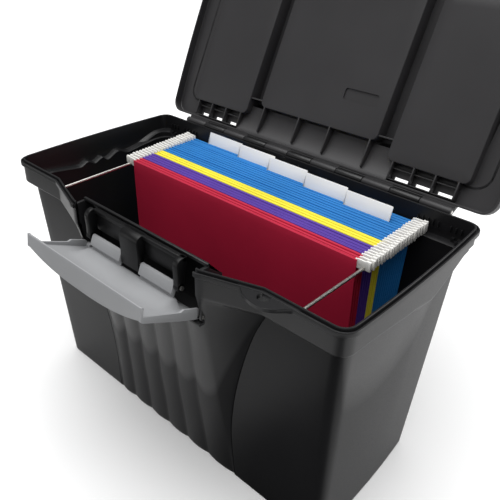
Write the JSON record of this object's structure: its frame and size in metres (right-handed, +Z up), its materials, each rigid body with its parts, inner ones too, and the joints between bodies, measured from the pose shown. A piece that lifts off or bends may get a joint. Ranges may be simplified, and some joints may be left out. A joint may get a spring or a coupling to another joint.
{
  "type": "portable hanging-file box",
  "caption": "Portable plastic file box with an organizer lid standing open, draw latch, steel rails and coloured hanging folders.",
  "frame": {"origin": "on the floor, under the middle of the tub's width; the resting face", "axes": "+X to the right, +Y to the back (towards the lid hinge), +Z up"},
  "size_m": [0.4306, 0.4096, 0.4679],
  "materials": {
    "tub_plastic": "fine-grained black polypropylene",
    "lid_plastic": "fine-grained black polypropylene",
    "latch_plastic": "satin silver-grey moulding",
    "steel": "plain drawn steel rod",
    "red_paper": "coloured card stock",
    "purple_paper": "coloured card stock",
    "yellow_paper": "coloured card stock",
    "blue_paper": "coloured card stock",
    "hanger_plastic": "white moulding",
    "tab_plastic": "smooth white plastic"
  },
  "bodies": {
    "box": {"tub": "tub_plastic", "rail_left": "steel", "rail_right": "steel", "hinge_rod": "steel", "flap_pivot_pins": "steel"},
    "lid": {"lid": "lid_plastic", "door_rod_left": "steel", "door_rod_right": "steel", "handle_pins": "steel"},
    "left_door": {"organizer_door_left": "lid_plastic"},
    "right_door": {"organizer_door_right": "lid_plastic"},
    "handle": {"carry_handle": "lid_plastic"},
    "flap": {"latch_flap": "latch_plastic", "latch_pin": "steel"},
    "yoke": {"latch_yoke": "tub_plastic"},
    "blue_files": {"blue_folders": "blue_paper", "blue_hangers": "hanger_plastic", "index_tab_1": "tab_plastic", "index_tab_2": "tab_plastic", "index_tab_3": "tab_plastic", "index_tab_4": "tab_plastic", "index_tab_5": "tab_plastic"},
    "yellow_files": {"yellow_folders": "yellow_paper", "yellow_hangers": "hanger_plastic"},
    "purple_files": {"purple_folders": "purple_paper", "purple_hangers": "hanger_plastic"},
    "red_files": {"red_folders": "red_paper", "red_hangers": "hanger_plastic"}
  },
  "joints": [
    {"name": "lid_hinge", "type": "hinge", "parent": "box", "child": "lid", "pos_m": [0, 0.109, 0.2582], "axis": [1, 0, 0], "range_deg": [0, 116]},
    {"name": "left_door_hinge", "type": "hinge", "parent": "lid", "child": "left_door", "pos_m": [0, 0.13393, 0.26963], "axis": [-1, 0, 0], "range_deg": [0, 95]},
    {"name": "right_door_hinge", "type": "hinge", "parent": "lid", "child": "right_door", "pos_m": [0, 0.13393, 0.26963], "axis": [-1, 0, 0], "range_deg": [0, 95]},
    {"name": "handle_hinge", "type": "hinge", "parent": "lid", "child": "handle", "pos_m": [0, 0.16564, 0.3474], "axis": [-1, 0, 0], "range_deg": [0, 90]},
    {"name": "flap_hinge", "type": "hinge", "parent": "box", "child": "flap", "pos_m": [0, -0.1165, 0.2125], "axis": [-1, 0, 0], "range_deg": [0, 59]},
    {"name": "yoke_hinge", "type": "hinge", "parent": "flap", "child": "yoke", "pos_m": [0, -0.12148, 0.23352], "axis": [1, 0, 0], "range_deg": [0, 99.5]},
    {"name": "blue_slide", "type": "slide", "parent": "box", "child": "blue_files", "axis": [0, -1, 0], "range_m": [0, 0.02]},
    {"name": "yellow_slide", "type": "slide", "parent": "blue_files", "child": "yellow_files", "axis": [0, -1, 0], "range_m": [0, 0.02]},
    {"name": "purple_slide", "type": "slide", "parent": "yellow_files", "child": "purple_files", "axis": [0, -1, 0], "range_m": [0, 0.02]},
    {"name": "red_slide", "type": "slide", "parent": "purple_files", "child": "red_files", "axis": [0, -1, 0], "range_m": [0, 0.02]}
  ],
  "couplings": [
    {"joint": "yoke_hinge", "follows": "flap_hinge", "ratio": 1.685}
  ]
}
